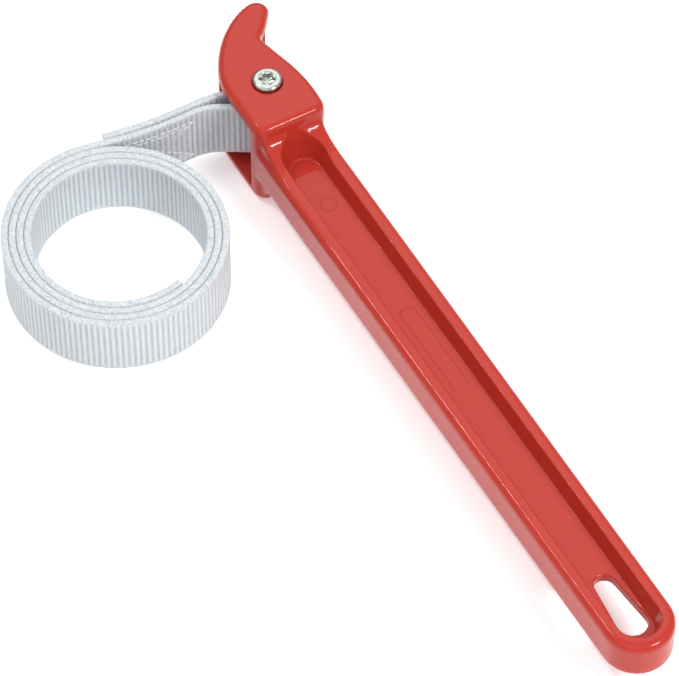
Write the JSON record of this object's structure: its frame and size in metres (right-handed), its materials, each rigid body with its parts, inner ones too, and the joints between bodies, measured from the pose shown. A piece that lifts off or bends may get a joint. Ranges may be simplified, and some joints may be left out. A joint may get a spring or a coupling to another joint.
{
  "type": "oil filter strap wrench",
  "caption": "Cast handle with a toothed hook nose, a windowed head and webbing looped on a screw pivot, its free length rolled in a flat coil.",
  "frame": {"origin": "on the strap pivot's axis at the flat underside of the head, where the barrel nut's hex face is flush with it", "axes": "+X along the handle to its hanging end, +Z along the pivot axis out of the screw head, -Y the side the webbing leaves the head on"},
  "size_m": [0.3, 0.1313, 0.0408],
  "materials": {
    "red_gloss_paint": "gloss enamel over die-cast metal",
    "zinc_steel": "bright zinc plate",
    "plated_nut_steel": "satin zinc plate",
    "white_webbing": "ribbed woven webbing",
    "needle_thread_yarn": "twisted thread",
    "bobbin_thread_yarn": "twisted thread"
  },
  "bodies": {
    "wrench": {"handle_casting": "red_gloss_paint", "pivot_screw": "zinc_steel", "barrel_nut": "plated_nut_steel"},
    "strap": {"strap_webbing": "white_webbing", "needle_thread": "needle_thread_yarn", "bobbin_thread": "bobbin_thread_yarn"}
  },
  "joints": [
    {"name": "strap_swing", "type": "hinge", "parent": "wrench", "child": "strap", "pos_m": [0, 0, 0], "axis": [0, 0, 1], "range_deg": [-3, 24]}
  ]
}
